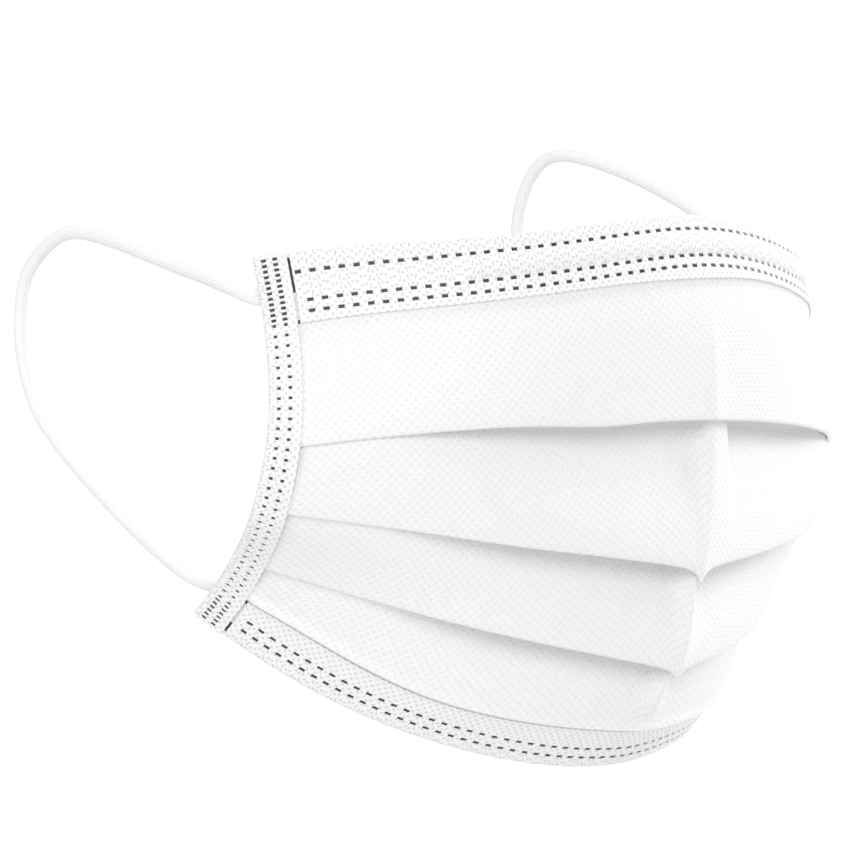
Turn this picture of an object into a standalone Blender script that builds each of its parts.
"""A pleated surgical face mask, standing open as it does when it is worn.

The mask lies open round a face that isn't there: +Z is up, -Y is the way the wearer looks, and +X is
the wearer's left. The origin is the nose seat, in the middle of the nose band, on its inner face.
All cloth pieces are lofts over one outer surface. That surface runs through the rows of ROWS, from
the top edge down over the lips of the three pleats to the bottom edge.
"""

import math
from collections import namedtuple

import bmesh
import bpy
import numpy as np
from mathutils import Vector

# The mask body, in metres
HALF_ARC = 0.089  # cloth from the middle of a row to its side edge
BODY_HEIGHT = 0.101  # top edge to bottom edge, at the middle
CHIN_SETBACK = 0.017  # how far the bottom edge lies behind the top edge
SEAT_DROP = 0.006  # the nose seat lies this far below the top edge
CLOTH_WALL = 0.001
PIECE_GAP = 0.0003
LAYER_GAP = 0.0004  # between the layers of one pleat

# The bindings and the nose wire
SIDE_BAND = 0.0064  # width of the side bindings
WIRE_LENGTH = 0.100
WIRE_WIDTH = 0.0033
WIRE_THICK = 0.0006
WIRE_DROP = 0.0036  # top edge to the wire's upper edge
WIRE_RAMP = 0.004  # over which the nose band comes down past the wire's ends
EDGE_ROUND = 0.0014  # how far a folded binding rounds off before its edge

# The pleats
TUCK_MIDDLE = 0.003  # how far a pleat's hidden turn lies above its lip
TUCK_FLANK = 0.006
CENTRE_RECESS = 0.0012  # how much deeper a pleat opens at the middle
OPENING_ENDS = 0.35  # share of the half arc at which that depth and the shorter tuck have faded
TUCK_RUN_OUT = 0.12  # share over which a tuck runs out
LONGEST_TUCK = 0.5  # of the panel above it

# The ear loops
CORD_DIAMETER = 0.0025
CORD_STEP = 2.4  # diameters between two points of a tube

# One row for each line across the mask. The lengths are shares: drop, side_drop and sag of
# BODY_HEIGHT, setback of CHIN_SETBACK. bow is the power by which a row goes from drop to side_drop,
# turn is the angle in degrees that it has turned through at its side edge, growth the power by
# which it turns, and keel the angle of the ridge at the middle.
Row = namedtuple("Row", "name drop side_drop bow sag setback turn growth keel")
ROWS = (
    Row("top_edge", 0.000, 0.087, 1.90, -0.021, 0.00, 62, 1.20, 0),
    Row("nose_band", 0.111, 0.205, 1.90, -0.021, -0.23, 62, 1.15, 1),
    Row("pleat_1", 0.368, 0.427, 2.25, -0.002, -0.28, 57, 1.33, 10),
    Row("pleat_2", 0.646, 0.530, 1.00, 0.000, -0.15, 56, 1.17, 10),
    Row("pleat_3", 0.822, 0.628, 1.12, -0.009, 0.13, 60, 0.92, 9),
    Row("chin_band", 0.936, 0.671, 1.60, -0.019, 0.64, 59, 0.82, 4),
    Row("bottom_edge", 1.000, 0.707, 1.85, -0.006, 1.00, 58, 0.80, 2),
)
KEEL_WIDTH = 0.10  # share of the half arc over which a keel fades
TOP, NOSE, CHIN, BOTTOM = 0, 1, 5, 6
PLEATS = (2, 3, 4)

# Where the loft's columns stand, in shares of the half arc
COLUMNS = (0, 0.025, 0.07, 0.13, 0.20, 0.28, 0.36, 0.44, 0.52, 0.60, 0.68, 0.75, 0.80, 0.835, 0.86, 0.885, 0.90)
TUCKS_END = 0.86  # out here the tucks have run out
PLEATS_END = 0.905  # and from here on the cloth lies flat under the side binding

# The loops' routes from the top corner round the ear to the bottom corner, one row for each bend, in
# millimetres: out to its own side, back and up.
Bend = namedtuple("Bend", "name out back up")
RIGHT_LOOP = (
    Bend("top_weld", 67.2, 33.1, -10.0),
    Bend("leaves_binding", 69.3, 36.5, -10.1),
    Bend("over_cheek", 69.8, 53.9, -4.9),
    Bend("before_ear", 67.2, 86.5, 3.6),
    Bend("over_ear", 67.0, 92.7, 2.9),
    Bend("turn_begins", 67.0, 100.6, -3.3),
    Bend("back_of_ear", 67.0, 102.8, -13.4),
    Bend("turn_ends", 67.0, 100.3, -24.7),
    Bend("under_lobe", 67.0, 94.2, -33.7),
    Bend("rear_cheek", 65.4, 61.3, -59.4),
    Bend("nears_binding", 63.9, 55.8, -62.0),
    Bend("bottom_weld", 61.8, 50.7, -62.8),
)
LEFT_LOOP = (
    Bend("top_weld", 67.2, 33.2, -9.5),
    Bend("leaves_binding", 69.0, 36.9, -5.4),
    Bend("climbs_cheek", 70.4, 44.0, 5.6),
    Bend("before_ear", 68.9, 66.6, 18.7),
    Bend("over_ear", 67.1, 86.7, 23.7),
    Bend("turn_begins", 67.0, 92.7, 19.9),
    Bend("back_of_ear", 67.0, 96.0, 12.4),
    Bend("behind_ear", 67.0, 96.3, 6.5),
    Bend("turn_ends", 67.0, 90.4, -11.5),
    Bend("under_lobe", 66.4, 69.9, -42.8),
    Bend("nears_binding", 63.9, 56.4, -60.8),
    Bend("bottom_weld", 61.8, 50.7, -62.8),
)

FACE_DEPTH = CLOTH_WALL + PIECE_GAP  # how deep the panel's face lies under a binding
FOLD_RADIUS = (CLOTH_WALL + LAYER_GAP) / 2
FLAT_MID = FACE_DEPTH + CLOTH_WALL / 2  # middle of the panel where it lies between a binding's legs
BINDING_THICK = 2 * FACE_DEPTH + CLOTH_WALL
CORNER_IN = 0.6 * CLOTH_WALL  # how deep a binding's rounded corner lies
ROW_SAMPLES = 120
SAMPLED_SHARE = 1.05  # a little past the side edge, where normals are still needed
SIDE_STATIONS = 25
BAND_STATIONS = 16
WIRE_STATIONS = 12
UNDER_BINDING = 0.955  # one more column of the panel, inside the side binding
SHARP_ANGLE = 40


def sampled_row(row):
    """The row's points from the middle outwards, at even shares of the half arc."""
    share = np.linspace(0, SAMPLED_SHARE, ROW_SAMPLES + 1)
    fall = (row.side_drop - row.drop) * BODY_HEIGHT
    sag = row.sag * BODY_HEIGHT
    height = SEAT_DROP - row.drop * BODY_HEIGHT - fall * share**row.bow + sag * np.sin(math.pi * share) ** 2
    slope = -fall * row.bow * share ** (row.bow - 1) + sag * math.pi * np.sin(2 * math.pi * share)
    level = np.sqrt(HALF_ARC**2 - slope**2)
    heading = np.radians(row.turn) * share**row.growth + np.radians(row.keel) * np.exp(-share / KEEL_WIDTH)

    def summed(rate):
        steps = (rate[1:] + rate[:-1]) / 2 * np.diff(share)
        return np.concatenate([[0], np.cumsum(steps)])

    x = summed(level * np.cos(heading))
    y = summed(level * np.sin(heading)) + row.setback * CHIN_SETBACK - BINDING_THICK
    return share, np.stack([x, y, height], axis=-1)


SAMPLED = [sampled_row(row) for row in ROWS]


class Column:
    """The line down the mask's outer surface at one signed share of the half arc."""

    def __init__(self, share):
        side = -1 if share < 0 else 1
        points = []
        for shares, line in SAMPLED:
            point = [np.interp(abs(share), shares, line[:, axis]) for axis in range(3)]
            points.append((side * point[0], point[1], point[2]))
        self.points = np.array(points)
        steps = np.linalg.norm(np.diff(self.points, axis=0), axis=1)
        self.knots = np.concatenate([[0], np.cumsum(steps)])
        rates = np.diff(self.points, axis=0) / steps[:, None]
        inner = (rates[1:] * steps[:-1, None] + rates[:-1] * steps[1:, None]) / (steps[1:] + steps[:-1])[:, None]
        self.tangents = np.concatenate([rates[:1], inner, rates[-1:]])

    def down(self, row):
        """How far down this column a row lies. Half a row is half-way between two."""
        return float(np.interp(row, range(len(ROWS)), self.knots))

    def at(self, down):
        if down <= 0:
            return self.points[0] + self.tangents[0] * down
        if down >= self.knots[-1]:
            return self.points[-1] + self.tangents[-1] * (down - self.knots[-1])
        i = int(np.searchsorted(self.knots, down, side="right")) - 1
        length = self.knots[i + 1] - self.knots[i]
        t = (down - self.knots[i]) / length
        return (
            (2 * t**3 - 3 * t**2 + 1) * self.points[i]
            + (t**3 - 2 * t**2 + t) * length * self.tangents[i]
            + (3 * t**2 - 2 * t**3) * self.points[i + 1]
            + (t**3 - t**2) * length * self.tangents[i + 1]
        )


COLUMN_AT = {}
NORMAL_STEP = 0.01  # share of the half arc
ALONG_STEP = 0.0005


def column(share):
    key = round(share, 5)
    if key not in COLUMN_AT:
        COLUMN_AT[key] = Column(key)
    return COLUMN_AT[key]


def on_cloth(share, down, inward):
    """The point at a signed share and a way down the column, this far in from the outer surface."""
    here = column(share)
    row = float(np.interp(down, here.knots, range(len(ROWS))))
    sides = []
    for step in (-NORMAL_STEP, NORMAL_STEP):
        beside = column(share + step)
        sides.append(beside.at(beside.down(row)))
    across = Vector(sides[1] - sides[0])
    along = Vector(here.at(down + ALONG_STEP) - here.at(down - ALONG_STEP))
    return Vector(here.at(down)) + across.cross(along).normalized() * inward


def share_from_edge(distance):
    return 1 - distance / HALF_ARC


def smooth(value, low, high):
    """0 below low, 1 above high and an even curve between."""
    t = min(max((value - low) / (high - low), 0), 1)
    return t * t * (3 - 2 * t)


def loft(name, sections):
    """One closed solid through closed sections that have as many points each."""
    mesh = bmesh.new()
    rings = [[mesh.verts.new(point) for point in section] for section in sections]
    for ring, following in zip(rings, rings[1:]):
        for i in range(len(ring)):
            j = (i + 1) % len(ring)
            mesh.faces.new((ring[i], ring[j], following[j], following[i]))
    mesh.faces.new(rings[0])
    mesh.faces.new(rings[-1])
    bmesh.ops.recalc_face_normals(mesh, faces=mesh.faces)
    bmesh.ops.triangulate(mesh, faces=mesh.faces)
    data = bpy.data.meshes.new(name)
    mesh.to_mesh(data)
    mesh.free()
    data.shade_smooth()
    data.set_sharp_from_angle(angle=math.radians(SHARP_ANGLE))
    return add(bpy.data.objects.new(name, data))


def add(obj):
    MASK.objects.link(obj)
    return obj


def finish(obj, colour, roughness):
    material = bpy.data.materials.new(obj.name)
    material.use_nodes = True
    shader = material.node_tree.nodes["Principled BSDF"]
    shader.inputs["Base Color"].default_value = (*colour, 1)
    shader.inputs["Roughness"].default_value = roughness
    shader.inputs["Metallic"].default_value = 0
    obj.data.materials.append(material)


def thickened(middle_line):
    """The closed outline of a wall whose middle line is given as (down, inward) points."""
    line = np.array(middle_line)
    heading = np.gradient(line, axis=0)
    heading /= np.linalg.norm(heading, axis=1)[:, None]
    outward = np.stack([heading[:, 1], -heading[:, 0]], axis=-1) * CLOTH_WALL / 2
    return line + outward, line - outward


def pleat_turn(centre, upwards):
    """A half circle of cloth round (down, inward), downwards at a lip and upwards at a hidden turn."""
    side = -1 if upwards else 1
    for angle in np.linspace(0, math.pi, 4):
        yield (centre[0] + side * FOLD_RADIUS * math.sin(angle), centre[1] - FOLD_RADIUS * math.cos(angle))


def panel_section(share):
    """The zigzag of the panel down one column, as its outer and inner lines of (down, inward)."""
    here = column(share)
    out = abs(share)
    openness = 1 - smooth(out, 0, OPENING_ENDS)
    tuck_left = 1 - smooth(out, TUCKS_END - TUCK_RUN_OUT, TUCKS_END)
    pleated = 1 - smooth(out, TUCKS_END, PLEATS_END)
    lip_mid = CLOTH_WALL / 2
    recess = lip_mid + 4 * FOLD_RADIUS + CENTRE_RECESS * openness

    start = here.down(TOP) + FACE_DEPTH + PIECE_GAP
    nose = here.down(NOSE)
    end = here.down(BOTTOM) - FACE_DEPTH - PIECE_GAP
    pleated_line = [(start, FLAT_MID), (nose, FLAT_MID)]
    flat_line = list(pleated_line)
    from_down, from_in = nose, FLAT_MID
    for pleat in PLEATS:
        lip = here.down(pleat) - FOLD_RADIUS
        panel_length = lip - from_down
        for part in (0.25, 0.5, 0.75):
            down = from_down + part * panel_length
            pleated_line.append((down, from_in + (lip_mid - from_in) * part))
            flat_line.append((down, FLAT_MID))
        full_tuck = TUCK_FLANK + (TUCK_MIDDLE - TUCK_FLANK) * openness
        tuck = min(full_tuck, panel_length * LONGEST_TUCK) * tuck_left
        behind = (from_in - lip_mid) * tuck / panel_length
        turns = list(pleat_turn((lip, lip_mid + FOLD_RADIUS), upwards=False))
        hidden_in = recess - FOLD_RADIUS + behind
        turns += pleat_turn((lip - tuck, hidden_in), upwards=True)
        below = lip + 2 * FOLD_RADIUS
        turns.append((below, recess))
        pleated_line += turns
        flat_line += [(down, FLAT_MID) for down in np.linspace(lip, below, len(turns))]
        from_down, from_in = below, recess
    chin = here.down(CHIN)
    for part in (0.5, 1.0):
        down = from_down + part * (chin - from_down)
        pleated_line.append((down, from_in + (FLAT_MID - from_in) * part))
        flat_line.append((down, FLAT_MID))
    pleated_line.append((end, FLAT_MID))
    flat_line.append((end, FLAT_MID))

    lines = zip(thickened(flat_line), thickened(pleated_line))
    return [flat + (zigzag - flat) * pleated for flat, zigzag in lines]


def both_sides(shares):
    return sorted({-share for share in shares} | set(shares))


def build_panel():
    """The pleated cloth itself, with its raw edges inside the four bindings."""
    panel_end = share_from_edge(FACE_DEPTH + PIECE_GAP)
    sections = []
    for share in both_sides(COLUMNS + (share_from_edge(SIDE_BAND), UNDER_BINDING, panel_end)):
        outer, inner = panel_section(share)
        ring = list(outer) + list(inner[::-1])
        sections.append([on_cloth(share, down, inward) for down, inward in ring])
    finish(loft("mask_panel", sections), colour=(0.90, 0.91, 0.92), roughness=0.85)


def wire_lift(share):
    """How far the nose band stands out over the wire here."""
    past = abs(share) * HALF_ARC - WIRE_LENGTH / 2
    return (WIRE_THICK + PIECE_GAP) * (1 - smooth(past, 0, WIRE_RAMP))


def folded_edge(edge, towards):
    """The outer and inner line of a binding's fold, as (along, inward), from its front to its back.

    edge is where the fold lies and towards is 1 or -1, the way that leads from it into the binding.
    """
    rounded = ((EDGE_ROUND, 0), (EDGE_ROUND - CLOTH_WALL, CORNER_IN))
    outside = [(edge + towards * along, inward) for along, inward in rounded]
    outside.append((edge, BINDING_THICK / 2))
    outside += [(along, BINDING_THICK - inward) for along, inward in outside[1::-1]]
    inside = [
        (edge + towards * (EDGE_ROUND - PIECE_GAP / 3), BINDING_THICK - CLOTH_WALL),
        (edge + towards * CLOTH_WALL, BINDING_THICK / 2),
        (edge + towards * (EDGE_ROUND - PIECE_GAP / 3), CLOTH_WALL),
    ]
    return outside, inside


def nose_band_section(share):
    """The nose band's ring of (down, inward), with the ridge over the wire."""
    lower = column(share).down(NOSE)
    lift = wire_lift(share)
    ridge_top = WIRE_DROP - CLOTH_WALL / 2
    ridge_low = WIRE_DROP + WIRE_WIDTH + CLOTH_WALL / 2
    wall = CLOTH_WALL
    outside, inside = folded_edge(0, 1)
    return [
        (lower, 0),
        (ridge_low + wall, 0),
        (ridge_low, -lift),
        (ridge_top, -lift),
        *outside,
        (lower, BINDING_THICK),
        (lower, BINDING_THICK - wall),
        *inside,
        (ridge_top - PIECE_GAP, wall),
        (ridge_top + PIECE_GAP / 2, wall - lift),
        (ridge_low - PIECE_GAP / 2, wall - lift),
        (ridge_low + PIECE_GAP, wall),
        (lower, wall),
    ]


def chin_band_section(share):
    """The chin band's ring of (down, inward), folded round the bottom edge."""
    upper = column(share).down(CHIN)
    outside, inside = folded_edge(column(share).down(BOTTOM), -1)
    back = BINDING_THICK
    return [(upper, 0), *outside, (upper, back), (upper, back - CLOTH_WALL), *inside, (upper, CLOTH_WALL)]


def build_bands():
    """The nose band and the chin band, which end against the side bindings."""
    last = share_from_edge(SIDE_BAND + PIECE_GAP)
    wire_end = WIRE_LENGTH / 2 / HALF_ARC
    ramp = WIRE_RAMP / HALF_ARC
    evenly = tuple(np.linspace(0, last, BAND_STATIONS))
    ridge = (wire_end, wire_end + ramp / 2, wire_end + ramp)
    for name, section_at, shares in (
        ("top_binding", nose_band_section, evenly + ridge),
        ("bottom_binding", chin_band_section, evenly),
    ):
        sections = [
            [on_cloth(share, down, inward) for down, inward in section_at(share)] for share in both_sides(shares)
        ]
        finish(loft(name, sections), colour=(0.92, 0.93, 0.94), roughness=0.8)


def build_side_bindings():
    """A folded strip round each side edge, from the top edge to the bottom edge."""
    outside, inside = folded_edge(0, 1)
    back = BINDING_THICK
    ring = [
        (SIDE_BAND, 0),
        *outside,
        (SIDE_BAND, back),
        (SIDE_BAND, back - CLOTH_WALL),
        *inside,
        (SIDE_BAND, CLOTH_WALL),
    ]
    for name, side in (("side_binding_right", -1), ("side_binding_left", 1)):
        sections = []
        for row in np.linspace(TOP, BOTTOM, SIDE_STATIONS):
            section = []
            for distance, inward in ring:
                share = side * share_from_edge(distance)
                section.append(on_cloth(share, column(share).down(row), inward))
            sections.append(section)
        finish(loft(name, sections), colour=(0.92, 0.93, 0.94), roughness=0.8)


def build_nose_wire():
    """The flat bendable wire under the nose band's outer leg."""
    inner_face = FACE_DEPTH - PIECE_GAP
    ring = (
        (WIRE_DROP, inner_face - WIRE_THICK),
        (WIRE_DROP, inner_face),
        (WIRE_DROP + WIRE_WIDTH, inner_face),
        (WIRE_DROP + WIRE_WIDTH, inner_face - WIRE_THICK),
    )
    ends = WIRE_LENGTH / 2 / HALF_ARC
    sections = [
        [on_cloth(share, down, inward) for down, inward in ring] for share in both_sides(np.linspace(0, ends, WIRE_STATIONS))
    ]
    finish(loft("nose_wire", sections), colour=(0.80, 0.81, 0.82), roughness=0.5)


def through(points):
    """A smooth curve through the points, read every few diameters."""
    knots = np.array(points)
    fine = []
    ends = np.concatenate([[2 * knots[0] - knots[1]], knots, [2 * knots[-1] - knots[-2]]])
    for before, start, stop, after in zip(ends, ends[1:], ends[2:], ends[3:]):
        spans = [math.sqrt(np.linalg.norm(b - a)) for a, b in ((before, start), (start, stop), (stop, after))]
        leave = (start - before) / spans[0] - (stop - before) / (spans[0] + spans[1]) + (stop - start) / spans[1]
        reach = (stop - start) / spans[1] - (after - start) / (spans[1] + spans[2]) + (after - stop) / spans[2]
        for t in np.linspace(0, 1, 12, endpoint=False):
            fine.append(
                (2 * t**3 - 3 * t**2 + 1) * start
                + (t**3 - 2 * t**2 + t) * spans[1] * leave
                + (3 * t**2 - 2 * t**3) * stop
                + (t**3 - t**2) * spans[1] * reach
            )
    fine = np.array(fine + [knots[-1]])
    travelled = np.concatenate([[0], np.cumsum(np.linalg.norm(np.diff(fine, axis=0), axis=1))])
    count = round(travelled[-1] / (CORD_STEP * CORD_DIAMETER)) + 1
    stops = np.linspace(0, travelled[-1], count)
    return np.stack([np.interp(stops, travelled, fine[:, axis]) for axis in range(3)], axis=-1)


def build_ear_loops():
    """Each loop is one elastic cord, welded behind its side binding at both corners."""
    for name, side, route in (("ear_loop_right", -1, RIGHT_LOOP), ("ear_loop_left", 1, LEFT_LOOP)):
        points = through([(side * bend.out / 1000, bend.back / 1000, bend.up / 1000) for bend in route])
        curve = bpy.data.curves.new(name, "CURVE")
        curve.dimensions = "3D"
        curve.bevel_depth = CORD_DIAMETER / 2
        curve.bevel_resolution = 2
        curve.use_fill_caps = True
        spline = curve.splines.new("POLY")
        spline.points.add(len(points) - 1)
        for target, point in zip(spline.points, points):
            target.co = (*point, 1)
        finish(add(bpy.data.objects.new(name, curve)), colour=(0.94, 0.94, 0.95), roughness=0.8)


for leftover in list(bpy.data.objects):
    bpy.data.objects.remove(leftover)
MASK = bpy.data.collections.new("surgical_face_mask")
bpy.context.scene.collection.children.link(MASK)

build_panel()
build_bands()
build_side_bindings()
build_nose_wire()
build_ear_loops()
